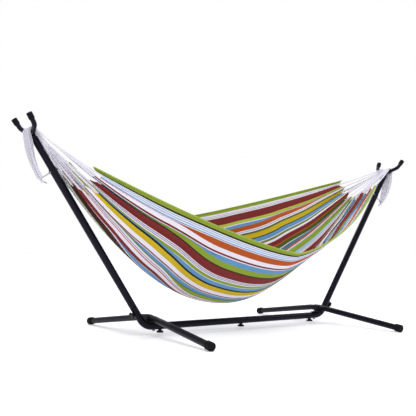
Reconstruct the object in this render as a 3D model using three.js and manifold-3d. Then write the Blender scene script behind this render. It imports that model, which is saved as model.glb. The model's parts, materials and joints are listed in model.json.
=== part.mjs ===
// Two-person hammock hung on a low steel tube stand.
// Frame: X along the stand, Y across it, Z up, floor at Z = 0, millimetres.
import * as THREE from 'three';
import { mergeVertices } from 'three/addons/utils/BufferGeometryUtils.js';
import Module from 'manifold-3d';

const wasm = await Module();
wasm.setup();

// ---- driving dimensions ----
const fitGap = 0.3;              // clearance left between two pieces that touch
const sides = 20;                // facets round a frame tube

const tubeDia = 40;              // base, elbows and lower arms
const tubeWall = 1.5;
const tubeInner = tubeDia - 2 * tubeWall;
const spigotDia = tubeInner - 2 * fitGap;
const spigotLength = 70;         // swaged end pushed into the next tube
const swageLip = 3;              // length of the cone where a tube narrows to its spigot

const cornerX = 682;             // where the arm line meets the base line
const baseHeight = 50;           // base tube centre above the floor
const armAngle = 56.1;           // arm above the floor, degrees
const armLength = 1235;          // corner to the crotch of the fork
const elbowRadius = 90;
const elbowLeg = 135;            // corner to the open end of each elbow leg
const baseJointX = 34;           // joint between the two base tubes

const upperDia = spigotDia;      // upper arm slides into the lower arm
const upperWall = 1.5;
const upperDrop = 222;           // crotch to the rim of the lower arm
const upperInsert = 90;          // length of upper arm inside the lower arm
const upperTop = 46;             // crotch to the top rim of the upper arm

const prongDia = 25;
const prongReach = 106;          // prong end, to each side of the arm
const prongRise = 78;            // prong end above the crotch
const forkDip = 22;              // bottom of the fork bar below the crotch
const kneeReach = 96;            // where each prong turns up
const kneeRise = 18;
const forkBend = 34;             // bend radius of the fork bar
const stemDia = upperDia - 2 * upperWall - 2 * fitGap;
const stemInsert = 60;
const prongCapDia = 31;
const prongCapLength = 34;
const capBottom = 3;             // closed end of a cap

const footDia = 36;
const footWall = 1.5;
const footHalf = 655;            // foot bar end, to each side of the base
const footFlat = 60;             // half of the level middle of the foot bar
const footBend = 120;            // bend radius of the foot bar
const footCapDia = 46;
const footCapLength = 42;
const footPad = 1.2;             // flat worn on the underside of each foot cap

const saddleWidth = 46;
const saddleWall = 3.4;
const tongueLength = 62;
const tongueWidth = 24;
const tongueThick = 4;
const webLength = 22;            // web between the saddle ring and its tongue
const tongueOverlap = 8;         // how far the middle of the tongue lies toward the ring from its bolt
const boltDia = 8;
const boltHeadDia = 15;
const boltHeadHeight = 5.5;
const nutDia = 16;
const nutHeight = 6.5;

const knobDia = 42;
const knobThick = 9;
const knobNeckDia = 19;
const knobNeck = 8;
const knobLobes = 6;
const knobScrewDia = 8;
const knobScrewLength = 36;
const knobFromCorner = 100;

const hookDia = 6;
const hookFromCrotch = 236;
const hookReach = 92;            // straight shank from the arm centre
const hookTip = 46;
const hookBend = 12;
const hookTurn = 126;            // degrees the hook end turns back
const hookNutDia = 17;
const hookNutHeight = 5;

const bedThick = 5;              // cloth stand-in thickness
const bedSteps = 30;
const bedRows = 16;
const cordDia = 6;               // one stand-in for several strings
const cordsPerEnd = 9;
const cordGap = 9;               // cord end to cloth edge
const eyeDia = 20;
const eyeFromBar = 88;           // eye of the strings below the fork bar
const tailWidth = 34;
const tailThick = 9;
const wrapGap = 4;               // strings stand this far off the middle of the fork bar
const rimSlack = 1.7;            // the upper arm's rim may reach this far past the strings on the bar
const tailOnHook = 0.62;         // how far out along the hook's shank the tail is looped
const wrapSlope = 0.34;          // how fast the strings leave the arm below the fork
const tailFromBar = 74;          // inner end of the tail below the fork bar

const corner = new THREE.Vector3(cornerX, 0, baseHeight);
const lean = THREE.MathUtils.degToRad(90 - armAngle);
const armDir = new THREE.Vector3(Math.sin(lean), 0, Math.cos(lean));
const turn = THREE.MathUtils.degToRad(armAngle);
const bendIn = elbowRadius * Math.tan(turn / 2);   // tangent length of the elbow bend

// ---- materials, one function per finish ----
function steelPaint() {
  return new THREE.MeshStandardMaterial({ color: 0x17161c, roughness: 0.38, metalness: 0.15 });
}
function blackRubber() {
  return new THREE.MeshStandardMaterial({ color: 0x0b0b0c, roughness: 0.75, metalness: 0.0 });
}
function blackPlastic() {
  return new THREE.MeshStandardMaterial({ color: 0x0e0e10, roughness: 0.45, metalness: 0.0 });
}
function zincSteel() {
  return new THREE.MeshStandardMaterial({ color: 0x8d9094, roughness: 0.35, metalness: 1.0 });
}
function whiteString() {
  return new THREE.MeshStandardMaterial({ color: 0xe6e3ea, roughness: 0.9, metalness: 0.0 });
}
function stripedCloth() {
  return new THREE.MeshStandardMaterial({ color: 0x8a8f4a, roughness: 0.9, metalness: 0.0 });
}

// ---- solids and booleans ----
function toSolid(geometry) {
  const bare = geometry.clone();
  bare.deleteAttribute('normal');
  if (bare.attributes.uv) {
    bare.deleteAttribute('uv');
  }
  const merged = mergeVertices(bare, 1e-4);
  const mesh = new wasm.Mesh({
    numProp: 3,
    vertProperties: new Float32Array(merged.attributes.position.array),
    triVerts: new Uint32Array(merged.index.array),
  });
  return new wasm.Manifold(mesh);
}
function toGeometry(solid) {
  const mesh = solid.getMesh();
  const geometry = new THREE.BufferGeometry();
  geometry.setAttribute('position', new THREE.BufferAttribute(new Float32Array(mesh.vertProperties), 3));
  geometry.setIndex(new THREE.BufferAttribute(new Uint32Array(mesh.triVerts), 1));
  geometry.computeVertexNormals();
  return geometry;
}
function cutAll(geometry, cutters) {
  let solid = toSolid(geometry);
  for (const cutter of cutters) {
    solid = solid.subtract(toSolid(cutter));
  }
  return toGeometry(solid);
}
function joinAll(geometries) {
  let solid = toSolid(geometries[0]);
  for (const geometry of geometries.slice(1)) {
    solid = solid.add(toSolid(geometry));
  }
  return toGeometry(solid);
}
function named(name, geometry, material) {
  const mesh = new THREE.Mesh(geometry, material);
  mesh.name = name;
  return mesh;
}

// turned piece standing on Z, profile given as [radius, height] pairs closed on itself
function turned(profile, facets) {
  const points = profile.map(([r, z]) => new THREE.Vector2(r, z));
  const geometry = new THREE.LatheGeometry(points, facets);
  geometry.rotateX(Math.PI / 2);
  return geometry;
}
function rod(diameter, from, to, facets) {
  const r = diameter / 2;
  return turned([[0, from], [r, from], [r, to], [0, to]], facets);
}
// hollow tube along Z whose ends may be swaged down to the spigot size
function frameTube(from, to, swageLow, swageHigh) {
  const big = tubeDia / 2;
  const small = spigotDia / 2;
  const outer = [];
  if (swageLow) {
    outer.push([small, from - spigotLength], [small, from + fitGap], [big, from + swageLip]);
  } else {
    outer.push([big, from]);
  }
  if (swageHigh) {
    outer.push([big, to - swageLip], [small, to - fitGap], [small, to + spigotLength]);
  } else {
    outer.push([big, to]);
  }
  const inner = outer.map(([r, z]) => [r - tubeWall, z]).reverse();
  const profile = outer.concat(inner);
  profile.push(profile[0]);
  return turned(profile, sides);
}
function circleShape(radius, facets) {
  const shape = new THREE.Shape();
  for (let i = 0; i < facets; i += 1) {
    const a = (i / facets) * Math.PI * 2;
    const x = radius * Math.cos(a);
    const y = radius * Math.sin(a);
    if (i === 0) {
      shape.moveTo(x, y);
    } else {
      shape.lineTo(x, y);
    }
  }
  return shape;
}
function ringShape(outer, inner, facets) {
  const shape = circleShape(outer, facets);
  shape.holes.push(circleShape(inner, facets));
  return shape;
}
// curve sampled at its own stations, so bends get rows and straights do not
class StationCurve extends THREE.Curve {
  constructor(stations) {
    super();
    this.stations = stations;
  }
  get steps() {
    return this.stations.length - 1;
  }
  getPointAt(u, target = new THREE.Vector3()) {
    const i = Math.min(this.steps, Math.max(0, Math.round(u * this.steps)));
    return target.copy(this.stations[i]);
  }
  getPoint(u, target) {
    return this.getPointAt(u, target);
  }
  getTangentAt(u, target = new THREE.Vector3()) {
    const i = Math.min(this.steps, Math.max(0, Math.round(u * this.steps)));
    const here = this.stations[i];
    const before = this.stations[Math.max(0, i - 1)];
    const after = this.stations[Math.min(this.steps, i + 1)];
    const back = here.clone().sub(before).normalize();
    const ahead = after.clone().sub(here).normalize();
    return target.copy(back.add(ahead)).normalize();
  }
  getTangent(u, target) {
    return this.getTangentAt(u, target);
  }
}
// polyline whose inner corners are replaced by arcs of the given radius
function roundedPath(points, radius, arcSteps) {
  const stations = [points[0].clone()];
  for (let i = 1; i < points.length - 1; i += 1) {
    const back = points[i - 1].clone().sub(points[i]).normalize();
    const ahead = points[i + 1].clone().sub(points[i]).normalize();
    const half = back.angleTo(ahead) / 2;
    const reach = radius / Math.tan(half);
    const middle = back.clone().add(ahead).normalize();
    const centre = points[i].clone().addScaledVector(middle, radius / Math.sin(half));
    const first = points[i].clone().addScaledVector(back, reach).sub(centre);
    const axis = first.clone().cross(points[i].clone().addScaledVector(ahead, reach).sub(centre)).normalize();
    const sweep = Math.PI - 2 * half;
    for (let k = 0; k <= arcSteps; k += 1) {
      stations.push(first.clone().applyAxisAngle(axis, (sweep * k) / arcSteps).add(centre));
    }
  }
  stations.push(points[points.length - 1].clone());
  return new StationCurve(stations);
}
function sweep(shape, path) {
  return new THREE.ExtrudeGeometry(shape, {
    steps: path.steps,
    curveSegments: 1,
    bevelEnabled: false,
    extrudePath: path,
  });
}
function vec(x, y, z) {
  return new THREE.Vector3(x, y, z);
}

// ---- base and elbows ----
const screwHoleDia = knobScrewDia + 2 * fitGap;
const wallHole = tubeDia / 2 + 5;

function baseTube(isLeft) {
  const outerEnd = cornerX - elbowLeg;
  const inner = isLeft ? -baseJointX : baseJointX;
  const geometry = frameTube(inner, outerEnd, !isLeft, true);
  geometry.rotateY(Math.PI / 2);
  const outerHole = rod(screwHoleDia, -wallHole, 0, 12);
  outerHole.translate(cornerX - knobFromCorner, 0, 0);
  const middleHole = rod(screwHoleDia, -wallHole, 0, 12);
  return cutAll(geometry, [outerHole, middleHole]);
}
function elbow() {
  const path = roundedPath(
    [vec(-elbowLeg, 0, 0), vec(0, 0, 0), armDir.clone().multiplyScalar(elbowLeg)],
    elbowRadius,
    6,
  );
  const pipe = sweep(ringShape(tubeDia / 2, tubeInner / 2, sides), path);
  const baseHole = rod(screwHoleDia, -wallHole, 0, 12);
  baseHole.translate(-knobFromCorner, 0, 0);
  const armHole = rod(screwHoleDia, -wallHole, 0, 12);
  armHole.rotateY(-Math.PI / 2);
  armHole.translate(0, 0, knobFromCorner);
  armHole.rotateY(lean);
  const boltHole = rod(boltDia + 2 * fitGap, -wallHole, wallHole, 12);
  boltHole.translate(-saddleBoltIn, 0, 0);
  return cutAll(pipe, [baseHole, armHole, boltHole]);
}

// ---- arms: local Z runs up the arm from the corner, local X points outward ----
function lowerArm() {
  const geometry = frameTube(elbowLeg, armLength - upperDrop, true, false);
  const knobHole = rod(screwHoleDia, 0, wallHole, 12);
  knobHole.rotateY(Math.PI / 2);
  knobHole.translate(0, 0, knobFromCorner);
  return cutAll(geometry, [knobHole, hookHole()]);
}
function hookHole() {
  const hole = rod(hookDia + 2 * fitGap, -wallHole, wallHole, 12);
  hole.rotateY(Math.PI / 2);
  hole.translate(0, 0, armLength - hookFromCrotch);
  return hole;
}
function upperArm() {
  const r = upperDia / 2;
  const from = armLength - upperDrop - upperInsert;
  const to = armLength - upperTop;
  const profile = [[r - upperWall, from], [r, from], [r, to], [r - upperWall, to], [r - upperWall, from]];
  return cutAll(turned(profile, sides), [hookHole()]);
}
const forkSlope = Math.atan2(kneeRise + forkDip, kneeReach);
const forkSink = forkBend * (1 / Math.cos(forkSlope) - 1);   // corner below the rounded bottom
function fork() {
  const low = armLength - forkDip;
  const high = armLength + prongRise;
  const path = roundedPath(
    [
      vec(0, -prongReach, high), vec(0, -kneeReach, armLength + kneeRise), vec(0, 0, low - forkSink),
      vec(0, kneeReach, armLength + kneeRise), vec(0, prongReach, high),
    ],
    forkBend,
    5,
  );
  const bar = sweep(circleShape(prongDia / 2, 14), path);
  const stem = rod(stemDia, armLength - upperTop - stemInsert, armLength - upperTop + 1, sides);
  const neckTop = low - 2;
  const neck = turned(
    [[0, armLength - upperTop], [stemDia / 2, armLength - upperTop], [prongDia / 2 + 1, neckTop], [0, neckTop]],
    sides,
  );
  return joinAll([bar, stem, neck]);
}
const prongLean = Math.atan2(prongReach - kneeReach, prongRise - kneeRise);
function prongCap(side) {
  const high = armLength + prongRise;
  const r = prongCapDia / 2;
  const bore = prongDia / 2 + fitGap;
  const depth = prongCapLength - capBottom;
  const geometry = turned(
    [
      [bore, -depth], [r - 1.5, -depth], [r, -depth + 2], [r, capBottom - 1.5],
      [r - 2, capBottom + fitGap], [0, capBottom + fitGap], [0, fitGap], [bore, fitGap], [bore, -depth],
    ],
    16,
  );
  geometry.rotateX(-side * prongLean);
  geometry.translate(0, side * prongReach, high);
  return geometry;
}

// ---- feet ----
const saddleBoltIn = 58;                                   // bolt inboard of the corner
const bisect = vec(-Math.sin(turn / 2), 0, Math.cos(turn / 2));
const crookDepth = elbowRadius * (1 / Math.cos(turn / 2) - 1);
const footSeat = bisect.clone().multiplyScalar(crookDepth + tubeDia / 2 + saddleWall + footDia / 2 + 2 * fitGap);
const footMiddle = corner.clone().add(footSeat);
const footDrop = (footMiddle.z - footCapDia / 2 + footPad) / bisect.z;
const footCapCentre = footMiddle.clone().addScaledVector(bisect, -footDrop);

function footPath() {
  const down = bisect.clone().multiplyScalar(-footDrop);
  return roundedPath(
    [
      down.clone().setY(-footHalf), vec(0, -footFlat, 0), vec(0, footFlat, 0), down.clone().setY(footHalf),
    ],
    footBend,
    3,
  );
}
function footBar() {
  return sweep(ringShape(footDia / 2, footDia / 2 - footWall, 16), footPath());
}
function footCap(side) {
  const r = footCapDia / 2;
  const bore = footDia / 2 + fitGap;
  const depth = footCapLength - capBottom;
  const geometry = turned(
    [
      [bore, -depth], [r - 2, -depth], [r, -depth + 3], [r, capBottom - 2],
      [r - 3, capBottom + fitGap], [0, capBottom + fitGap], [0, fitGap], [bore, fitGap], [bore, -depth],
    ],
    20,
  );
  const path = footPath();
  const along = path.getTangentAt(side < 0 ? 0 : 1).multiplyScalar(side);
  geometry.applyQuaternion(new THREE.Quaternion().setFromUnitVectors(vec(0, 0, 1), along));
  const end = path.getPointAt(side < 0 ? 0 : 1).add(footMiddle);
  geometry.translate(end.x, end.y, end.z);
  const floor = new THREE.BoxGeometry(200, 200, 60);
  floor.translate(end.x, end.y, -30);
  return cutAll(geometry, [floor]);
}
function saddle() {
  const r = footDia / 2;
  const ring = turned(
    [
      [r + fitGap, -saddleWidth / 2], [r + saddleWall, -saddleWidth / 2],
      [r + saddleWall, saddleWidth / 2], [r + fitGap, saddleWidth / 2], [r + fitGap, -saddleWidth / 2],
    ],
    sides,
  );
  ring.rotateX(Math.PI / 2);
  const tongue = new THREE.BoxGeometry(tongueLength, tongueWidth, tongueThick);
  const tongueZ = baseHeight + tubeDia / 2 + fitGap + tongueThick / 2 - footMiddle.z;
  const tongueX = cornerX - saddleBoltIn - footMiddle.x;
  tongue.translate(tongueX + tongueOverlap, 0, tongueZ);
  const web = new THREE.BoxGeometry(webLength, tongueWidth, -tongueZ);
  web.translate(-webLength / 2, 0, tongueZ / 2);
  const bore = rod(2 * (r + fitGap), -saddleWidth, saddleWidth, sides);
  bore.rotateX(Math.PI / 2);
  const elbowSpace = sweep(
    circleShape(tubeDia / 2 + fitGap, sides),
    roundedPath([vec(-elbowLeg, 0, 0), vec(0, 0, 0), armDir.clone().multiplyScalar(elbowLeg)], elbowRadius, 6),
  );
  elbowSpace.translate(cornerX - footMiddle.x, 0, baseHeight - footMiddle.z);
  const boltHole = rod(boltDia + 2 * fitGap, -100, 100, 12);
  boltHole.translate(tongueX, 0, 0);
  return cutAll(joinAll([ring, tongue, web]), [bore, elbowSpace, boltHole]);
}
const tongueTop = baseHeight + tubeDia / 2 + fitGap + tongueThick;
function saddleBolt() {
  const top = tongueTop + fitGap;
  const end = baseHeight - tubeDia / 2 - fitGap - nutHeight - 2;
  return turned(
    [
      [0, end], [boltDia / 2, end], [boltDia / 2, top], [boltHeadDia / 2, top],
      [boltHeadDia / 2, top + boltHeadHeight * 0.5], [boltHeadDia / 4, top + boltHeadHeight], [0, top + boltHeadHeight],
    ],
    16,
  );
}
function saddleNut() {
  const top = baseHeight - tubeDia / 2 - fitGap;
  const bore = (boltDia / 2 + fitGap) / Math.cos(Math.PI / 6);   // six flats clear of the thread
  return turned([[bore, top - nutHeight], [nutDia / 2, top - nutHeight], [nutDia / 2, top], [bore, top],
    [bore, top - nutHeight]], 6);
}

// ---- hand knobs: local Z points out of the tube wall ----
function knobHead() {
  const shape = new THREE.Shape();
  const count = knobLobes * 4;
  for (let i = 0; i < count; i += 1) {
    const a = (i / count) * Math.PI * 2;
    const r = (knobDia / 2) * (0.93 + 0.07 * Math.cos(a * knobLobes));
    if (i === 0) {
      shape.moveTo(r * Math.cos(a), r * Math.sin(a));
    } else {
      shape.lineTo(r * Math.cos(a), r * Math.sin(a));
    }
  }
  const base = tubeDia / 2 + fitGap + knobNeck;
  const disc = new THREE.ExtrudeGeometry(shape, { depth: knobThick, steps: 1, bevelEnabled: false });
  disc.translate(0, 0, base);
  const neck = turned(
    [
      [0, tubeDia / 2 + fitGap], [knobNeckDia / 2, tubeDia / 2 + fitGap],
      [knobNeckDia / 2 + 3, base + 1], [0, base + 1],
    ],
    18,
  );
  const socket = rod(knobScrewDia + 2 * fitGap, 0, base + 4, 12);
  return cutAll(joinAll([disc, neck]), [socket]);
}
function knobScrew() {
  const top = tubeDia / 2 + fitGap + knobNeck + 4 - fitGap;
  return rod(knobScrewDia, top - knobScrewLength, top, 12);
}

// ---- tail hook through the arm joint ----
function tailHook() {
  const z = armLength - hookFromCrotch;
  const back = THREE.MathUtils.degToRad(hookTurn);
  const tip = vec(hookReach, 0, z).add(
    vec(Math.cos(back), 0, -Math.sin(back)).multiplyScalar(hookTip),
  );
  const path = roundedPath([vec(-tubeDia / 2 - 9, 0, z), vec(hookReach, 0, z), tip], hookBend, 6);
  return sweep(circleShape(hookDia / 2, 10), path);
}
function hookNut(side) {
  const bore = hookDia / 2 + fitGap;
  const from = tubeDia / 2 + fitGap;
  const to = from + hookNutHeight;
  const geometry = turned([[bore, from], [hookNutDia / 2, from], [hookNutDia / 2, to], [bore, to], [bore, from]], 12);
  geometry.rotateY((side * Math.PI) / 2);
  geometry.translate(0, 0, armLength - hookFromCrotch);
  return geometry;
}

// ---- hammock cloth ----
// A long edge or the belly: lowest point, two ends, and how sharply each side climbs.
function hangingLine(low, left, right, climbLeft, climbRight) {
  return (t) => {
    const x = left.x + (right.x - left.x) * t;
    const end = x < low.x ? left : right;
    const climb = x < low.x ? climbLeft : climbRight;
    const d = Math.abs((x - low.x) / (end.x - low.x));
    const y = end.y + (low.y - end.y) * (1 - d ** 1.6);
    return vec(x, y, low.z + (end.z - low.z) * d ** climb);
  };
}
// The cloth hangs from the forks, so its ends are given inboard of a crotch and all of it below one.
const crotchX = corner.x + armLength * armDir.x;
const crotchZ = corner.z + armLength * armDir.z;
function lowPoint(x, y, drop) {
  return vec(x, y, crotchZ - drop);
}
function leftEnd(inset, y, drop) {
  return vec(inset - crotchX, y, crotchZ - drop);
}
function rightEnd(inset, y, drop) {
  return vec(crotchX - inset, y, crotchZ - drop);
}
const nearEdge = hangingLine(
  lowPoint(60, -455, 610.1),
  leftEnd(300.8, -118, 170.1),
  rightEnd(205.8, -80, 132.1),
  1.4,
  1.42,
);
const farEdge = hangingLine(
  lowPoint(-230, 385, 393.1),
  leftEnd(228.8, 80, 109.1),
  rightEnd(365.8, 85, 87.1),
  2.1,
  1.18,
);
const belly = hangingLine(
  lowPoint(-130, -3, 917.1),
  leftEnd(180.8, -15, 219.1),
  rightEnd(330.8, -2, 220.1),
  2.0,
  1.75,
);
const gatherDroop = vec(28, -45, -62);   // how the gathered left end slumps between its edge and its belly

// How full a half hangs between belly and edge: 0 pulled straight, 1 a full curve.
function fullness(t, w) {
  const { smoothstep } = THREE.MathUtils;
  if (w < 0) {
    return 1 - 0.95 * smoothstep(t, 0.4, 0.72);
  }
  return (0.35 + 0.65 * smoothstep(t, 0, 0.4)) * (1 - 0.3 * smoothstep(t, 0.5, 0.85));
}
function clothPoint(t, w) {
  const low = belly(t);
  const edge = w < 0 ? nearEdge(t) : farEdge(t);
  const a = Math.abs(w);
  const full = fullness(t, w) * a * (1 - a);
  const out = a + 0.32 * full;
  const up = a - full * (1 - 0.25 * a);
  const p = vec(low.x + (edge.x - low.x) * a ** 1.5, low.y + (edge.y - low.y) * out, low.z + (edge.z - low.z) * up);
  if (w < 0) {
    p.addScaledVector(gatherDroop, Math.sin(Math.PI * a) * (1 - THREE.MathUtils.smoothstep(t, 0, 0.4)));
  }
  return p;
}
function clothNormal(t, w) {
  const e = 1e-3;
  const t0 = Math.max(0, t - e);
  const t1 = Math.min(1, t + e);
  const w0 = Math.max(-1, w - e);
  const w1 = Math.min(1, w + e);
  const along = clothPoint(t1, w).sub(clothPoint(t0, w));
  const across = clothPoint(t, w1).sub(clothPoint(t, w0));
  return along.cross(across).normalize();
}
function hammockBed() {
  const geometry = new THREE.BoxGeometry(1, 1, 1, bedSteps, bedRows, 1);
  const position = geometry.attributes.position;
  for (let i = 0; i < position.count; i += 1) {
    const t = position.getX(i) + 0.5;
    const w = position.getY(i) * 2;
    const p = clothPoint(t, w).addScaledVector(clothNormal(t, w), position.getZ(i) * bedThick);
    position.setXYZ(i, p.x, p.y, p.z);
  }
  geometry.computeVertexNormals();
  return geometry;
}

// ---- strings ----
// point in an arm's own frame (outward, across, up the arm) put into the stand's frame
function armPoint(end, outward, across, up) {
  const p = vec(outward, across, up).applyAxisAngle(vec(0, 1, 0), lean).add(corner);
  return vec(p.x * end, p.y, p.z);
}
const wrapReach = Math.max(prongDia / 2 + wrapGap, upperDia / 2 - rimSlack) + tailThick / 2;
function eyeCentre(end) {
  return armPoint(end, -(wrapReach + eyeFromBar * wrapSlope), 0, armLength - forkDip - eyeFromBar);
}
function clew(end) {
  const centre = eyeCentre(end);
  const eye = new THREE.SphereGeometry(eyeDia / 2, 12, 8);
  eye.translate(centre.x, centre.y, centre.z);
  const parts = [eye];
  for (let i = 0; i < cordsPerEnd; i += 1) {
    const w = -0.97 + (1.94 * i) / (cordsPerEnd - 1);
    const tie = clothPoint(end < 0 ? 0 : 1, w);
    const away = centre.clone().sub(tie).normalize();
    const from = tie.clone().addScaledVector(away, cordGap);
    const path = new StationCurve([from, from.clone().lerp(centre, 0.5), centre]);
    parts.push(sweep(circleShape(cordDia / 2, 8), path));
  }
  return joinAll(parts);
}
function tailShape() {
  const shape = new THREE.Shape();
  for (let i = 0; i < 12; i += 1) {
    const a = (i / 12) * Math.PI * 2;
    const x = (tailWidth / 2) * Math.cos(a);
    const y = (tailThick / 2) * Math.sin(a);
    if (i === 0) {
      shape.moveTo(x, y);
    } else {
      shape.lineTo(x, y);
    }
  }
  return shape;
}
function tail() {
  const low = armLength - forkDip;
  const hookZ = armLength - hookFromCrotch;
  const stations = [vec(-wrapReach - tailFromBar * wrapSlope, 0, low - tailFromBar)];
  for (let k = 0; k <= 8; k += 1) {
    const a = THREE.MathUtils.degToRad(180 - 18 - (144 * k) / 8);
    stations.push(vec(wrapReach * Math.cos(a), 0, low + wrapReach * Math.sin(a)));
  }
  stations.push(vec(hookReach * tailOnHook, 0, hookZ + hookDia / 2 + tailThick / 2 + wrapGap));
  const geometry = sweep(tailShape(), new StationCurve(stations));
  return geometry;
}

// ---- assembly ----
const root = new THREE.Group();
root.name = 'hammock_on_stand';

function knobAt(name, holder, place) {
  const pivot = new THREE.Group();
  place(pivot);
  pivot.add(named(`knob_${name}`, knobHead(), blackPlastic()));
  pivot.add(named(`knob_screw_${name}`, knobScrew(), zincSteel()));
  holder.add(pivot);
}
function buildEnd(label, end) {
  const half = new THREE.Group();
  if (end < 0) {
    half.rotation.z = Math.PI;
  }
  root.add(half);

  const base = named(`base_tube_${label}`, baseTube(end < 0), steelPaint());
  base.position.set(0, 0, baseHeight);
  half.add(base);
  const bend = named(`elbow_${label}`, elbow(), steelPaint());
  bend.position.copy(corner);
  half.add(bend);
  knobAt(`base_${label}`, half, (g) => {
    g.position.set(cornerX - knobFromCorner, 0, baseHeight);
    g.rotation.x = Math.PI;
  });

  const arm = new THREE.Group();
  arm.position.copy(corner);
  arm.rotation.y = lean;
  half.add(arm);
  arm.add(named(`lower_arm_${label}`, lowerArm(), steelPaint()));
  arm.add(named(`upper_arm_${label}`, upperArm(), steelPaint()));
  arm.add(named(`fork_${label}`, fork(), steelPaint()));
  arm.add(named(`prong_cap_${label}_${end < 0 ? 'far' : 'near'}`, prongCap(-1), blackRubber()));
  arm.add(named(`prong_cap_${label}_${end < 0 ? 'near' : 'far'}`, prongCap(1), blackRubber()));
  arm.add(named(`tail_hook_${label}`, tailHook(), zincSteel()));
  arm.add(named(`hook_nut_${label}`, hookNut(1), zincSteel()));
  arm.add(named(`hook_cap_nut_${label}`, hookNut(-1), zincSteel()));
  arm.add(named(`tail_${label}`, tail(), whiteString()));
  knobAt(`arm_${label}`, arm, (g) => {
    g.position.set(0, 0, knobFromCorner);
    g.rotation.y = Math.PI / 2;
  });

  const foot = named(`foot_bar_${label}`, footBar(), steelPaint());
  foot.position.copy(footMiddle);
  half.add(foot);
  const clip = named(`saddle_${label}`, saddle(), blackPlastic());
  clip.position.copy(footMiddle);
  half.add(clip);
  const bolt = named(`saddle_bolt_${label}`, saddleBolt(), zincSteel());
  bolt.position.x = cornerX - saddleBoltIn;
  half.add(bolt);
  const nut = named(`saddle_nut_${label}`, saddleNut(), zincSteel());
  nut.position.x = cornerX - saddleBoltIn;
  half.add(nut);
  half.add(named(`foot_cap_${label}_${end < 0 ? 'far' : 'near'}`, footCap(-1), blackRubber()));
  half.add(named(`foot_cap_${label}_${end < 0 ? 'near' : 'far'}`, footCap(1), blackRubber()));
}
buildEnd('left', -1);
buildEnd('right', 1);
knobAt('middle', root, (g) => {
  g.position.set(0, 0, baseHeight);
  g.rotation.x = Math.PI;
});
root.add(named('hammock_bed', hammockBed(), stripedCloth()));
root.add(named('clew_left', clew(-1), whiteString()));
root.add(named('clew_right', clew(1), whiteString()));

export default root;
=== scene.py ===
"""A striped cotton hammock slung from a black steel tube stand."""

import json
import math

import bmesh
import bpy
from mathutils import Matrix, Vector


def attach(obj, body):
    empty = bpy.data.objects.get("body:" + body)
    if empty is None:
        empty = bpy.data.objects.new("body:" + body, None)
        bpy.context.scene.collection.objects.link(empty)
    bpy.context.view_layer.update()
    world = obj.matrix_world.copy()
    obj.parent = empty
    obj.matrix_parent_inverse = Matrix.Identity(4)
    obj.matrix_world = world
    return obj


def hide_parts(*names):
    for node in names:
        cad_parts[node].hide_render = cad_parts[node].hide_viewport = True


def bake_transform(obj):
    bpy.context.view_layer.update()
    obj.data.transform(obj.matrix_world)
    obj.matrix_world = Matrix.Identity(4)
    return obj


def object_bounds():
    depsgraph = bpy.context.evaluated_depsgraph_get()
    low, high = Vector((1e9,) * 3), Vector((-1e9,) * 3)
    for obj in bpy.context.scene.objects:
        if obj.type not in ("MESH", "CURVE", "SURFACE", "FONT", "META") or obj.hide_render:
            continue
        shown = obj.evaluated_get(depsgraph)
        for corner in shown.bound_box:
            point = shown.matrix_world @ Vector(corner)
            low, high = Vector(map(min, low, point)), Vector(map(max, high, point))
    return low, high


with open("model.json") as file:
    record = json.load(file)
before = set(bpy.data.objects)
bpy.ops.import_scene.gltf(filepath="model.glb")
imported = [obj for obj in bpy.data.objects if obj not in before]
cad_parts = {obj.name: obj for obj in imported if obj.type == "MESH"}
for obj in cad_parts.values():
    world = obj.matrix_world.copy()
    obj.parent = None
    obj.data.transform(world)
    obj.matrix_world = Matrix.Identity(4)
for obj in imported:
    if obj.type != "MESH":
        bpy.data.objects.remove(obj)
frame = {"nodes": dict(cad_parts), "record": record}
cad_low, cad_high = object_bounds()
MIDDLE = (cad_low + cad_high) / 2


# ---------------------------------------------------------------- viewpoint
# A person standing off the near left foot, a little lower than the forks,
# sees the whole stand in three-quarter view.
BEARING = math.radians(-35.6744)
TILT = math.radians(3.3327)
ROLL = math.radians(0.6054)
LENS = 58.17
EYE = MIDDLE + Vector((-2.5973, -3.2595, -0.080))

ahead = Vector((-math.sin(BEARING) * math.cos(TILT), math.cos(BEARING) * math.cos(TILT), math.sin(TILT)))
level = Vector((math.cos(BEARING), math.sin(BEARING), 0))
upright = level.cross(ahead)
right = level * math.cos(ROLL) + upright * math.sin(ROLL)
top = upright * math.cos(ROLL) - level * math.sin(ROLL)

camera = bpy.data.objects.new("camera", bpy.data.cameras.new("camera"))
bpy.context.scene.collection.objects.link(camera)
camera.data.sensor_width = 36
camera.data.lens = LENS
camera.matrix_world = Matrix.Translation(EYE) @ Matrix((right, top, -ahead)).transposed().to_4x4()
bpy.context.scene.camera = camera
bpy.context.scene.view_settings.view_transform = "Standard"


# ---------------------------------------------------------------- fork strings
# Each end of the cloth hangs on eighteen bunches of four cotton strings. They fan in from
# the pleats, lie packed in the dip of the fork bar, and run on over it as the tail.
class Wire:
    """A shader value that takes part in sums."""

    def __init__(self, finish, socket):
        self.finish = finish
        self.socket = socket

    def maths(self, operation, *values):
        settings = {"operation": operation}
        return self.finish.node("Math", settings, dict(enumerate(values)))

    def __add__(self, other):
        return self.maths("ADD", self, other)

    def __radd__(self, other):
        return self.maths("ADD", other, self)

    def __sub__(self, other):
        return self.maths("SUBTRACT", self, other)

    def __rsub__(self, other):
        return self.maths("SUBTRACT", other, self)

    def __mul__(self, other):
        return self.maths("MULTIPLY", self, other)

    def __rmul__(self, other):
        return self.maths("MULTIPLY", other, self)

    def __truediv__(self, other):
        return self.maths("DIVIDE", self, other)

    def __gt__(self, other):
        return self.maths("GREATER_THAN", self, other)

    def sine(self):
        return self.maths("SINE", self)


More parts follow.
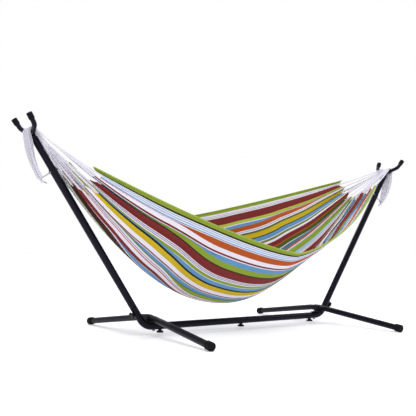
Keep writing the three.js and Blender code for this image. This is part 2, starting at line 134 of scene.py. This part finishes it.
class Finish:
    """One material in the making."""

    def __init__(self, name):
        self.material = bpy.data.materials.new(name)
        self.material.use_nodes = True
        self.tree = self.material.node_tree
        self.tree.nodes.clear()

    def node(self, kind, settings=None, sockets=None, out=0):
        made = self.tree.nodes.new("ShaderNode" + kind)
        for key, value in (settings or {}).items():
            if key == "stops":
                self.set_stops(made.color_ramp, value)
            else:
                setattr(made, key, value)
        for key, value in (sockets or {}).items():
            if isinstance(value, Wire):
                self.tree.links.new(value.socket, made.inputs[key])
            else:
                made.inputs[key].default_value = value
        return Wire(self, made.outputs[out])

    def set_stops(self, ramp, stops):
        ramp.interpolation = "CONSTANT" if len(stops) > 3 else "LINEAR"
        while len(ramp.elements) < len(stops):
            ramp.elements.new(1.0)
        for element, (place, colour) in zip(ramp.elements, stops):
            element.position = place
            element.color = (*colour, 1)

    def place(self, kind="Object"):
        return self.node("TexCoord", out=kind)

    def noise(self, vector, scale, detail=4, rough=0.6):
        sockets = {"Vector": vector, "Scale": scale, "Detail": detail, "Roughness": rough}
        return self.node("TexNoise", {}, sockets, "Fac")

    def blend(self, share, low, high):
        low, high = [(*c, 1) if isinstance(c, tuple) else c for c in (low, high)]
        return self.node("Mix", {"data_type": "RGBA"}, {0: share, 6: low, 7: high}, 2)

    def shade(self, amount, colour, depth):
        """colour darkened or lightened as amount runs from 0 to 1."""
        grey = self.node("CombineColor", {}, {i: 1 - depth + amount * (2 * depth) for i in range(3)})
        kind = {"data_type": "RGBA", "blend_type": "MULTIPLY"}
        return self.node("Mix", kind, {0: 1.0, 6: colour, 7: grey}, 2)

    def stretch(self, vector, by):
        return self.node("Mapping", {}, {"Vector": vector, "Scale": by})

    def split(self, vector, axis):
        return self.node("SeparateXYZ", {}, {0: vector}, axis)

    def bump(self, height, distance, strength=1.0):
        sockets = {"Height": height, "Distance": distance, "Strength": strength}
        return self.node("Bump", {}, sockets, "Normal")

    def surface(self, **sockets):
        named = {key.replace("_", " "): value for key, value in sockets.items()}
        shader = self.node("BsdfPrincipled", {}, named)
        self.node_output(shader)
        return self.material

    def node_output(self, shader):
        output = self.tree.nodes.new("ShaderNodeOutputMaterial")
        self.tree.links.new(shader.socket, output.inputs["Surface"])


def dye(red, green, blue):
    """Screen values from 0 to 255 as linear light."""
    shown = (red, green, blue)
    return tuple(((v / 255 + 0.055) / 1.055) ** 2.4 if v > 10 else v / 255 / 12.92 for v in shown)


def cotton_string():
    f = Finish("twisted_cotton_string")
    uv = f.place("UV")
    along, around = f.split(uv, "X"), f.split(uv, "Y")
    twist = ((along * 60 + around) * (2 * math.pi)).sine() * 0.5 + 0.5
    fuzz = f.noise(f.place(), 900)
    # painted shade: the string darkens towards its shaded colour along the twist grooves, mixed with random
    # fuzz tone
    lit_string, shaded = dye(217, 215, 224), dye(196, 193, 206)
    colour = f.blend(fuzz * 0.4 + (1 - twist) * 0.3, lit_string, shaded)
    return f.surface(
        Base_Color=colour,
        Roughness=0.82 + fuzz * 0.12,
        Normal=f.bump(twist + fuzz * 0.4, 0.0001, 0.15),
        Specular_IOR_Level=0.1,
    )


STRING = cotton_string()
STRINGS_PER_END = 18
COLUMN_STEP = 0.0122                 # bunches lie six abreast and three deep on the bar
LAYER_STEP = 0.0050
STRAND = 0.0040
BUNCH_SIDES = (-1.0, -0.34, 0.34, 1.0)
PACKED = Vector((0, -0.0026, 0))     # an outer strand from the bunch's middle, on the bar
FANNED = 0.0078                      # and where it enters the cloth
STRING_SAG = 0.006
LEAVES_BAR = 149                     # degrees round the fork bar where a string leaves it

# the stand's own sizes that the strings lie on
LEAN = math.radians(90 - 56.1)       # of an arm from upright
CORNER = 0.682                       # where arm and base lines meet, from the middle
BASE_HEIGHT = 0.050
BAR_UP = 1.213                       # fork bar's middle line at its lowest, up the arm
BAR_RADIUS = 0.0125
BAR_BEND = 0.034                     # radius of the bend in the bar's dip
BAR_SLOPE = math.atan2(0.040, 0.096)
HOOK_UP = 0.999                      # hook's shank, up the arm


def arm_point(end, out, across, up):
    """A point given outward from, across and up the arm of one end."""
    x = CORNER + out * math.cos(LEAN) + up * math.sin(LEAN)
    z = BASE_HEIGHT - out * math.sin(LEAN) + up * math.cos(LEAN)
    return Vector((end * x, across, z))


def bar_point(end, across, rise, degrees):
    """A point on the strings' way over the fork bar, 90 degrees being its top."""
    bent = BAR_BEND * math.sin(BAR_SLOPE)
    curved, straight = min(abs(across), bent), max(abs(across) - bent, 0)
    sag = BAR_BEND - math.sqrt(BAR_BEND**2 - curved**2) + straight * math.tan(BAR_SLOPE)
    a = math.radians(degrees)
    reach = BAR_RADIUS + rise
    return arm_point(end, reach * math.cos(a), across, BAR_UP + sag + reach * math.sin(a))


def berth(k):
    """Where string k lies on the bar: how far across and how high above it."""
    column, layer = divmod(k, 3)
    return (column - 2.5) * COLUMN_STEP, 0.0026 + LAYER_STEP * layer


def smooth_line(points, steps=6):
    """Points on a soft curve through the given ones."""
    line = []
    for i in range(len(points) - 1):
        a, b = points[max(i - 1, 0)], points[i]
        c, d = points[i + 1], points[min(i + 2, len(points) - 1)]
        for s in range(steps):
            u = s / steps
            square = 2 * a - 5 * b + 4 * c - d
            cube = 3 * b - a - 3 * c + d
            line.append(0.5 * (2 * b + (c - a) * u + square * u**2 + cube * u**3))
    line.append(points[-1].copy())
    return line


def tubes(name, routes, thickness, material, sides=3):
    """Round strands along several routes, as one mesh."""
    curve = bpy.data.curves.new(name, "CURVE")
    curve.dimensions = "3D"
    curve.bevel_depth = thickness / 2
    curve.bevel_resolution = sides
    curve.use_fill_caps = True
    for route in routes:
        spline = curve.splines.new("POLY")
        spline.points.add(len(route) - 1)
        for point, place in zip(spline.points, route):
            point.co = (*place, 1)
    rough = bpy.data.objects.new(name + "_line", curve)
    mesh = bpy.data.meshes.new_from_object(rough)
    bpy.data.objects.remove(rough)
    mesh.name = name
    mesh.materials.clear()
    mesh.materials.append(material)
    mesh.shade_smooth()
    piece = bpy.data.objects.new(name, mesh)
    bpy.context.scene.collection.objects.link(piece)
    return piece


def length_of(route):
    return sum((b - a).length for a, b in zip(route, route[1:]))


# ---------------------------------------------------------------- cloth shape
# One woven cotton sheet, hung between its two gathered ends. The near edge swings
# out and down, the far edge stands up, and the belly hangs low between them.
CLOTH_WIDTH = 1.29
CLOTH_LENGTH = 2.53


def ease(value, start, stop):
    u = min(1.0, max(0.0, (value - start) / (stop - start)))
    return u * u * (3 - 2 * u)


def hanging_line(low, left, right, climb_left, climb_right):
    def place(t):
        x = left[0] + (right[0] - left[0]) * t
        end, climb = (left, climb_left) if x < low[0] else (right, climb_right)
        d = abs((x - low[0]) / (end[0] - low[0]))
        y = end[1] + (low[1] - end[1]) * (1 - d**1.6)
        return Vector((x, y, low[2] + (end[2] - low[2]) * d**climb))
    return place


near_edge = hanging_line((0.060, -0.455, 0.465), (-1.070, -0.118, 0.905), (1.165, -0.080, 0.943), 1.4, 1.42)
far_edge = hanging_line((-0.230, 0.385, 0.682), (-1.142, 0.080, 0.966), (1.005, 0.085, 0.988), 2.1, 1.18)
belly = hanging_line((-0.130, -0.003, 0.158), (-1.190, -0.015, 0.856), (1.040, -0.002, 0.855), 2.0, 1.75)
GATHER_DROOP = Vector((0.028, -0.045, -0.062))


def fullness(t, w):
    if w < 0:
        return 1 - 0.95 * ease(t, 0.4, 0.72)
    return (0.35 + 0.65 * ease(t, 0, 0.4)) * (1 - 0.3 * ease(t, 0.5, 0.85))


def drape(t, w):
    """The cloth at t along it and w across it, from -1 at the near edge to 1 at the far one."""
    low = belly(t)
    edge = near_edge(t) if w < 0 else far_edge(t)
    a = abs(w)
    full = fullness(t, w) * a * (1 - a)
    share = Vector((a**1.5, a + 0.32 * full, a - full * (1 - 0.25 * a)))
    p = Vector(low[i] + (edge[i] - low[i]) * share[i] for i in range(3))
    if w < 0:
        p += GATHER_DROOP * (math.sin(math.pi * a) * (1 - ease(t, 0, 0.4)))
    return p


# tucks that swallow part of the width: place, cloth hidden, where each fades out
LEFT_TUCKS = (
    (0.071, 0.030, 0.17, 0.30),
    (0.135, 0.028, 0.21, 0.35),
    (0.167, 0.022, 0.14, 0.28),
    (0.212, 0.010, 0.20, 0.34),
    (0.284, 0.034, 0.13, 0.27),
    (0.403, 0.024, 0.08, 0.18),
    (0.443, 0.042, 0.21, 0.35),
    (0.591, 0.044, 0.10, 0.22),
    (0.900, 0.030, 0.12, 0.26),
    (1.080, 0.030, 0.10, 0.24),
)
RIGHT_TUCKS = (
    (1.190, 0.016, 0.34, 0.22),
    (1.171, 0.018, 0.22, 0.06),
    (0.980, 0.018, 0.24, 0.12),
    (0.700, 0.140, 0.34, 0.14),
    (0.530, 0.150, 0.32, 0.12),
    (0.350, 0.160, 0.30, 0.10),
    (0.137, 0.022, 0.24, 0.10),
    (0.075, 0.026, 0.20, 0.06),
)
# where the lowest line of the belly runs: place along the cloth, metres from the near edge
BELLY_PLACES = (
    (0, 0.720), (0.08, 0.712), (0.21, 0.640), (0.35, 0.556), (0.47, 0.560),
    (0.6, 0.640), (0.75, 0.754), (0.87, 0.785), (1, 0.790),
)


def belly_place(t):
    for (t0, s0), (t1, s1) in zip(BELLY_PLACES, BELLY_PLACES[1:]):
        if t <= t1:
            return s0 + (s1 - s0) * ease(t, t0, t1)
    return BELLY_PLACES[-1][1]


def tucks_at(t):
    """(place, hidden width) of every tuck open at t."""
    left = [(s, hidden * (1 - ease(t, full, gone))) for s, hidden, full, gone in LEFT_TUCKS]
    far = [(s, hidden * ease(t, 1 - gone, 1 - full)) for s, hidden, gone, full in RIGHT_TUCKS]
    return [(s, h) for s, h in left + far if h > 1e-5]


def showing(s, tucks):
    """How much cloth shows between the near edge and s, once the tucks have taken theirs."""
    return s - sum(hidden * ease(s, place - hidden * 0.6, place + hidden * 0.6) for place, hidden in tucks)


def pleat(t, s):
    """Height of the soft folds that run in from both gathered ends."""
    left, far = 1 - ease(t, 0, 0.34), ease(t, 0.70, 1)
    fine = math.sin(2 * math.pi * s / 0.079 + 2.1 * math.sin(9 * s))
    broad = math.sin(2 * math.pi * s / 0.192 + 1.3 * math.sin(5 * s + 1))
    slack = math.sin(2 * math.pi * s / 0.31 + 3.4 * t + 0.6) * math.sin(math.pi * t)
    ends = left**2.2 + far**2.2
    return ends * (0.0065 * fine + 0.006 * broad) + 0.0022 * slack * (1 - ends)


def tip_start(s):
    return 0.009 * (1 + math.sin(2 * math.pi * s / 0.136 - 1.4 + 1.5 * math.sin(7 * s)))


def tip_stop(s):
    ragged = 0.009 * (1 + math.sin(2 * math.pi * s / 0.121 + 1.2 * math.sin(6 * s + 2)))
    return 0.997 - ragged * ease(s, 0, 0.16)


def cloth_place(u, s):
    """The cloth at u from end to end and s metres from its near edge, folds included."""
    t = tip_start(s) + (tip_stop(s) - tip_start(s)) * u
    tucks = tucks_at(t)
    seen = showing(s, tucks)
    split, whole = showing(belly_place(t), tucks), showing(CLOTH_WIDTH, tucks)
    w = seen / split - 1 if seen < split else (seen - split) / (whole - split)
    w = max(-1.0, min(1.0, w))
    e = 0.004
    along = drape(min(t + e, 1), w) - drape(max(t - e, 0), w)
    across = drape(t, min(w + e, 1)) - drape(t, max(w - e, -1))
    inward = along.cross(across).normalized()
    inside = 1 if w < 0 else -1
    depth = 0
    for place, h in tucks:
        depth += 0.42 * min(h, 0.045) * math.exp(-(((s - place) / (0.45 * h + 0.004)) ** 2))
    return drape(t, w) + inward * (pleat(t, s) + inside * depth)


# ---------------------------------------------------------------- cloth stripes
# Warp-striped cotton: dyed bands of many widths run from end to end, with groups of
# pinstripes between them, and a green binding along both long edges.
COLOURS = {
    "green": dye(132, 152, 44), "olive": dye(104, 118, 34), "lime": dye(168, 182, 66),
    "forest": dye(70, 84, 18), "blue": dye(92, 142, 184), "ice": dye(150, 184, 214),
    "teal": dye(62, 112, 132), "rust": dye(172, 78, 28), "maroon": dye(116, 34, 34),
    "brown": dye(66, 24, 18), "yellow": dye(196, 168, 24), "purple": dye(110, 104, 140),
    "pink": dye(214, 188, 196), "white": dye(226, 220, 230), "grey": dye(150, 158, 160),
    "black": dye(26, 28, 24),
}
# bands in millimetres, from the near edge in to the belly
NEAR_BANDS = (
    ("green", 17), ("black", 8), ("white", 4), ("blue", 4), ("white", 4), ("ice", 7),
    ("white", 4), ("blue", 4), ("white", 4), ("rust", 30), ("white", 21), ("maroon", 10),
    ("white", 4), ("blue", 28), ("green", 28), ("black", 6), ("maroon", 48), ("white", 5),
    ("purple", 4), ("white", 5), ("purple", 4), ("white", 6), ("green", 18), ("white", 4),
    ("blue", 25), ("black", 13), ("yellow", 33), ("white", 28), ("maroon", 9), ("white", 5),
    ("blue", 26), ("black", 5), ("green", 45), ("white", 9), ("purple", 4), ("white", 9),
    ("rust", 10), ("white", 30), ("maroon", 32), ("white", 6), ("blue", 50), ("white", 6),
    ("brown", 60), ("black", 5), ("green", 38), ("white", 18), ("ice", 37), ("white", 12),
)
# bands in millimetres, from the far edge in to the belly
FAR_BANDS = (
    ("green", 17), ("white", 7), ("grey", 3), ("white", 4), ("grey", 3), ("white", 4),
    ("maroon", 35), ("lime", 15), ("white", 4), ("blue", 16), ("rust", 22), ("white", 6),
    ("grey", 4), ("white", 6), ("black", 4), ("olive", 6), ("yellow", 25), ("black", 6),
    ("blue", 22), ("white", 5), ("olive", 12), ("white", 14), ("maroon", 26), ("rust", 8),
    ("forest", 26), ("white", 4), ("teal", 24), ("rust", 14), ("white", 7), ("grey", 6),
    ("lime", 4), ("green", 36), ("ice", 28), ("pink", 20), ("maroon", 50),
)
STOPS_PER_RAMP = 30


def band_stops():
    """(place across the cloth from 0 to 1, colour) where each band begins."""
    bands = list(NEAR_BANDS) + list(reversed(FAR_BANDS))
    total = sum(width for _, width in bands)
    begun, stops = 0, []
    for colour, width in bands:
        stops.append((begun / total, COLOURS[colour]))
        begun += width
    return stops


def striped_cotton():
    f = Finish("striped_woven_cotton")
    uv = f.place("UV")
    along, across = f.split(uv, "X"), f.split(uv, "Y")
    share = across / CLOTH_WIDTH
    stops = band_stops()
    colour = None
    for first in range(0, len(stops), STOPS_PER_RAMP):
        part = stops[first:first + STOPS_PER_RAMP]
        start, last = part[0][0], first + STOPS_PER_RAMP
        end = stops[last][0] if last < len(stops) else 1.0
        local = [((place - start) / (end - start), c) for place, c in part]
        ramp = f.node("ValToRGB", {"stops": local}, {0: (share - start) / (end - start)})
        colour = ramp if colour is None else f.blend(share > start, colour, ramp)
    yarns = f.noise(f.stretch(uv, (14, 900, 1)), 1.0, 3)
    slubs = f.noise(f.stretch(uv, (60, 420, 1)), 1.0, 2)
    faded = f.noise(f.place(), 5, 3)
    colour = f.shade(yarns, colour, 0.16)
    colour = f.shade(faded * 0.6 + slubs * 0.4, colour, 0.09)
    warp = (across * (2 * math.pi / 0.0026)).sine()
    weft = (along * (2 * math.pi / 0.0034)).sine()
    weave = warp * weft * 0.5 + 0.5
    return f.surface(
        Base_Color=colour,
        Roughness=0.80 + slubs * 0.14,
        Normal=f.bump(weave + yarns * 0.8, 0.0007),
        Sheen_Weight=0.04,
        Sheen_Roughness=0.6,
        Specular_IOR_Level=0.2,
    )


CLOTH = striped_cotton()
ROWS_ALONG, ROWS_ACROSS = 190, 236
CLOTH_THICK = 0.0016


def woven_bed():
    """The sheet as a fine grid laid into its hanging shape, then given its thickness."""
    work = bmesh.new()
    bmesh.ops.create_grid(work, x_segments=ROWS_ALONG, y_segments=ROWS_ACROSS, size=0.5)
    layer = work.loops.layers.uv.new("UVMap")
    flat = {}
    for vertex in work.verts:
        flat[vertex] = (vertex.co.x + 0.5, (vertex.co.y + 0.5) * CLOTH_WIDTH)
    for face in work.faces:
        face.smooth = True
        for corner in face.loops:
            u, s = flat[corner.vert]
            corner[layer].uv = (u * CLOTH_LENGTH, s)
    for vertex in work.verts:
        vertex.co = cloth_place(*flat[vertex])
    mesh = bpy.data.meshes.new("woven_bed")
    work.to_mesh(mesh)
    work.free()
    mesh.materials.append(CLOTH)
    piece = bpy.data.objects.new("woven_bed", mesh)
    bpy.context.scene.collection.objects.link(piece)
    skin = piece.modifiers.new("thickness", "SOLIDIFY")
    skin.thickness = CLOTH_THICK
    skin.offset = 0
    return piece


bed = woven_bed()
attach(bed, "hammock")
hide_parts("hammock_bed")


def bound_edge():
    f = Finish("green_edge_binding")
    uv = f.place("UV")
    fuzz = f.noise(f.stretch(uv, (30, 6, 1)), 1.0, 3)
    stitch = (f.split(uv, "X") * (2 * math.pi * 160)).sine() * 0.5 + 0.5
    colour = f.shade(fuzz, f.blend(stitch > 0.93, COLOURS["green"], COLOURS["lime"]), 0.2)
    return f.surface(
        Base_Color=colour,
        Roughness=0.8 + fuzz * 0.15,
        Normal=f.bump(stitch + fuzz, 0.0005),
        Sheen_Weight=0.2,
    )


BINDING = bound_edge()
HEM = 0.0085
for label, s in (("near", 0.002), ("far", CLOTH_WIDTH - 0.002)):
    route = [cloth_place(i / 120, s) for i in range(121)]
    hem = tubes(f"edge_binding_{label}", [route], HEM, BINDING)
    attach(hem, "hammock")


# ---------------------------------------------------------------- strings in place
def string_route(end, k, side):
    """One strand from the cloth's end to the top of the fork bar; side parts a bunch."""
    s = CLOTH_WIDTH * (k + 0.5) / STRINGS_PER_END
    u = 0.0 if end < 0 else 1.0
    inner = 0.004 if end < 0 else 0.996
    tie, in_cloth = cloth_place(u, s), cloth_place(inner, s)
    along_hem = (cloth_place(u, s + 0.012) - cloth_place(u, s - 0.012)).normalized()
    across, rise = berth(k)
    over = [bar_point(end, across, rise, a) for a in (66, 84, 102, 120, 138, LEAVES_BAR)]
    leave = over[-1]
    span = tie - leave
    packed = PACKED * side + Vector((0, 0, 0.0012 * math.sin(5 * side)))
    fanned = along_hem * (FANNED * side)
    line = [p + packed for p in over]
    for i in range(1, 9):
        q = i / 9
        sag = Vector((0, 0, -STRING_SAG * math.sin(math.pi * q)))
        line.append(leave + span * q + sag + packed * (1 - q) + fanned * q)
    line.append(tie + fanned)
    line.append(in_cloth + (in_cloth - tie) * 0.5 + fanned)
    return line


for label, end in (("left", -1), ("right", 1)):
    for k in range(STRINGS_PER_END):
        bunch = [smooth_line(string_route(end, k, side), 3) for side in BUNCH_SIDES]
        middle = smooth_line(string_route(end, k, 0), 3)
        piece = tubes(f"string_{label}_{k + 1:02d}", bunch, STRAND, STRING, 1)
        leave = bar_point(end, *berth(k), LEAVES_BAR)
        tie = cloth_place(0.0 if end < 0 else 1.0, CLOTH_WIDTH * (k + 0.5) / STRINGS_PER_END)
        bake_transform(piece)
        round(length_of(middle), 2)
    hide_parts(f"clew_{label}")


# ---------------------------------------------------------------- string tails
# Past the fork bar the strings run on as two slack bundles of cotton, near and far,
# down the outside of the arm. Loops of the same string hold them to the wire hook.
TAIL_FALL = BAR_UP - 0.013           # where the tail starts to hang, up the arm
TAIL_OUT = 0.030                     # and how far out from the arm's middle it is there
TAIL_STRAND = 0.0046
LASHING_STRAND = 0.0042
WRAP_RADIUS = 0.0062                 # of a turn of string round the hook's shank
WRAP_OUT = 0.072                     # where the first turn sits, out from the arm
WRAP_STEP = 0.0006


def tail_route(end, k):
    across, rise = berth(k)
    sway = math.sin(k * 2.4)
    start = [bar_point(end, across, rise + 0.002, a) for a in (84, 66, 48, 30)]
    hook_out = 0.080 + 0.005 * math.cos(k * 1.7)
    down = []
    for q in (0.14, 0.3, 0.46, 0.62, 0.78, 0.9, 1.0):
        swell = math.sin(math.pi * q)
        out = TAIL_OUT + (hook_out - TAIL_OUT) * q**0.9 + 0.010 * swell
        up = TAIL_FALL + (HOOK_UP + 0.006 - TAIL_FALL) * q
        wide = across * (1.1 - 0.6 * q**1.3) + 0.003 * sway * swell
        depth = (rise - 0.0076) * (1.9 - 0.5 * q)
        down.append(arm_point(end, out + depth, wide, up))
    return smooth_line(start + down, 3)


def hook_wrap(end, turn):
    """A loop of string round the hook's shank."""
    line = []
    for i in range(27):
        a = 2 * math.pi * i / 13 + turn
        out = WRAP_OUT + WRAP_STEP * i + turn * 0.001
        across, up = WRAP_RADIUS * math.cos(a), WRAP_RADIUS * math.sin(a)
        line.append(arm_point(end, out, across, HOOK_UP + up))
    return line


for label, end in (("left", -1), ("right", 1)):
    ends = [hook_wrap(end, 0.0), hook_wrap(end, 2.0)]
    for side in (-1, 1):
        loose = [
            arm_point(end, 0.078, side * 0.004, HOOK_UP - 0.004),
            arm_point(end, 0.084, side * 0.009, HOOK_UP - 0.014),
            arm_point(end, 0.082, side * 0.014, HOOK_UP - 0.026),
        ]
        ends.append(smooth_line(loose, 4))
    lashing = tubes(f"hook_lashing_{label}", ends, LASHING_STRAND, STRING, 2)
    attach(lashing, "stand")
    half = STRINGS_PER_END // 2
    for part, first in (("near", 0), ("far", half)):
        routes = [tail_route(end, k) for k in range(first, first + half)]
        middle = [sum(places, Vector()) / half for places in zip(*routes)]
        beside = [Vector((0, side * 0.0036, -0.001)) for side in (-1, 1)]
        routes += [[p + shift for p in route] for route in routes for shift in beside]
        bundle = tubes(f"string_tail_{label}_{part}", routes, TAIL_STRAND, STRING, 1)
        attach(bundle, "stand")
        if part == "near":
            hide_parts(f"tail_{label}")
        round(length_of(middle), 2)


# ---------------------------------------------------------------- stand finishes
# The tubes are powder coated, the caps are moulded rubber, the knobs and saddles
# moulded plastic, and the hooks, bolts and nuts bright zinc.
def powder_coat():
    f = Finish("black_powder_coat")
    where = f.place()
    grain = f.noise(where, 900, 3)
    patch = f.noise(where, 9, 4)
    scuff = f.noise(f.stretch(where, (1, 1, 1)), 60, 6, 0.75) > 0.71
    tint = f.blend(patch, dye(8, 7, 13), dye(14, 12, 22))
    return f.surface(
        Base_Color=f.blend(scuff * 0.3, tint, dye(62, 58, 76)),
        Roughness=0.30 + patch * 0.10 + scuff * 0.14,
        Normal=f.bump(grain, 0.00022, 0.6),
        Specular_IOR_Level=0.17,
        Specular_Tint=(0.74, 0.70, 1.0, 1.0),
    )


def moulded_rubber():
    f = Finish("black_rubber")
    where = f.place()
    grain = f.noise(where, 1400, 3)
    dust = f.noise(where, 40, 5, 0.7)
    return f.surface(
        Base_Color=f.blend(dust, dye(6, 5, 8), dye(17, 15, 20)),
        Roughness=0.58 + dust * 0.2,
        Normal=f.bump(grain, 0.0003, 0.6),
        Specular_IOR_Level=0.12,
    )


def moulded_plastic():
    f = Finish("black_moulded_plastic")
    where = f.place()
    grain = f.noise(where, 1800, 2)
    rub = f.noise(where, 70, 5, 0.7)
    return f.surface(
        Base_Color=f.blend(rub, dye(8, 7, 10), dye(19, 17, 23)),
        Roughness=0.40 + rub * 0.2,
        Normal=f.bump(grain, 0.0002, 0.8),
        Specular_IOR_Level=0.15,
    )


def zinc_plate():
    f = Finish("zinc_plate")
    where = f.place()
    cloud = f.noise(where, 160, 4)
    lines = f.noise(f.stretch(where, (40, 900, 900)), 1.0, 2)
    return f.surface(
        Base_Color=f.blend(cloud, dye(176, 180, 188), dye(138, 142, 152)),
        Metallic=0.92 + cloud * 0.08,
        Roughness=0.28 + lines * 0.22,
        Normal=f.bump(lines, 0.0001, 0.5),
    )


FINISHES = {
    "frame_paint": powder_coat(),
    "cap_rubber": moulded_rubber(),
    "knob_plastic": moulded_plastic(),
    "zinc_steel": zinc_plate(),
    "string_cotton": STRING,
    "stripe_cloth": CLOTH,
}
for part in frame["record"]["subparts"]:
    node = frame["nodes"][part["node"]]
    node.data.materials.clear()
    node.data.materials.append(FINISHES[part["material_slot"]])


# ---------------------------------------------------------------- studio
# A pale floor that runs off into a pale surround, lit softly from above and in front. The floor also glows
# by itself with painted light, faint by the stand and stronger further out, which lifts its shadows.
def pale_floor():
    f = Finish("pale_floor")
    where = f.place()
    mottle = f.noise(where, 3, 3)
    # painted light: the floor's own glow rises with distance from the middle and washes out its shadows
    away = f.node("VectorMath", {"operation": "LENGTH"}, {0: where}, "Value")
    reach = {"Value": away, 1: 1.6, 2: 6.0, 3: 0.28, 4: 0.6}
    glow = f.node("MapRange", {"interpolation_type": "SMOOTHSTEP"}, reach)
    return f.surface(
        Base_Color=f.blend(mottle, dye(247, 247, 250), dye(242, 242, 246)),
        Roughness=0.9,
        Emission_Color=f.node("CombineColor", {}, {0: glow, 1: glow, 2: glow}),
        Emission_Strength=1.0,
    )


ground = bmesh.new()
bmesh.ops.create_grid(ground, x_segments=4, y_segments=4, size=30)
floor_mesh = bpy.data.meshes.new("floor")
ground.to_mesh(floor_mesh)
ground.free()
floor_mesh.materials.append(pale_floor())
floor = bpy.data.objects.new("floor", floor_mesh)
floor.location.z = -0.0005
bpy.context.scene.collection.objects.link(floor)

world = bpy.data.worlds.new("surround")
bpy.context.scene.world = world
world.use_nodes = True
backdrop = world.node_tree.nodes["Background"]
backdrop.inputs["Color"].default_value = (1, 1, 1, 1)
seen = world.node_tree.nodes.new("ShaderNodeLightPath")
lift = world.node_tree.nodes.new("ShaderNodeMapRange")
lift.inputs["To Min"].default_value = 0.55
lift.inputs["To Max"].default_value = 1.0
world.node_tree.links.new(seen.outputs["Is Camera Ray"], lift.inputs["Value"])
world.node_tree.links.new(lift.outputs["Result"], backdrop.inputs["Strength"])


def soft_box(name, place, size, power, tint=(1, 1, 1)):
    lamp = bpy.data.lights.new(name, "AREA")
    lamp.size = size
    lamp.energy = power
    lamp.color = tint
    box = bpy.data.objects.new(name, lamp)
    bpy.context.scene.collection.objects.link(box)
    box.location = MIDDLE + Vector(place)
    box.rotation_mode = "QUATERNION"
    box.rotation_quaternion = (-Vector(place)).to_track_quat("-Z", "Y")


soft_box("key", (-1.8, -3.2, 3.6), 2.6, 90)
soft_box("fill", (3.2, -1.6, 2.6), 2.4, 30, (0.94, 0.94, 1.0))
soft_box("rim", (1.0, 3.4, 2.8), 2.0, 45, (0.90, 0.90, 1.0))
soft_box("overhead", (0, 0, 4.2), 5.0, 130)
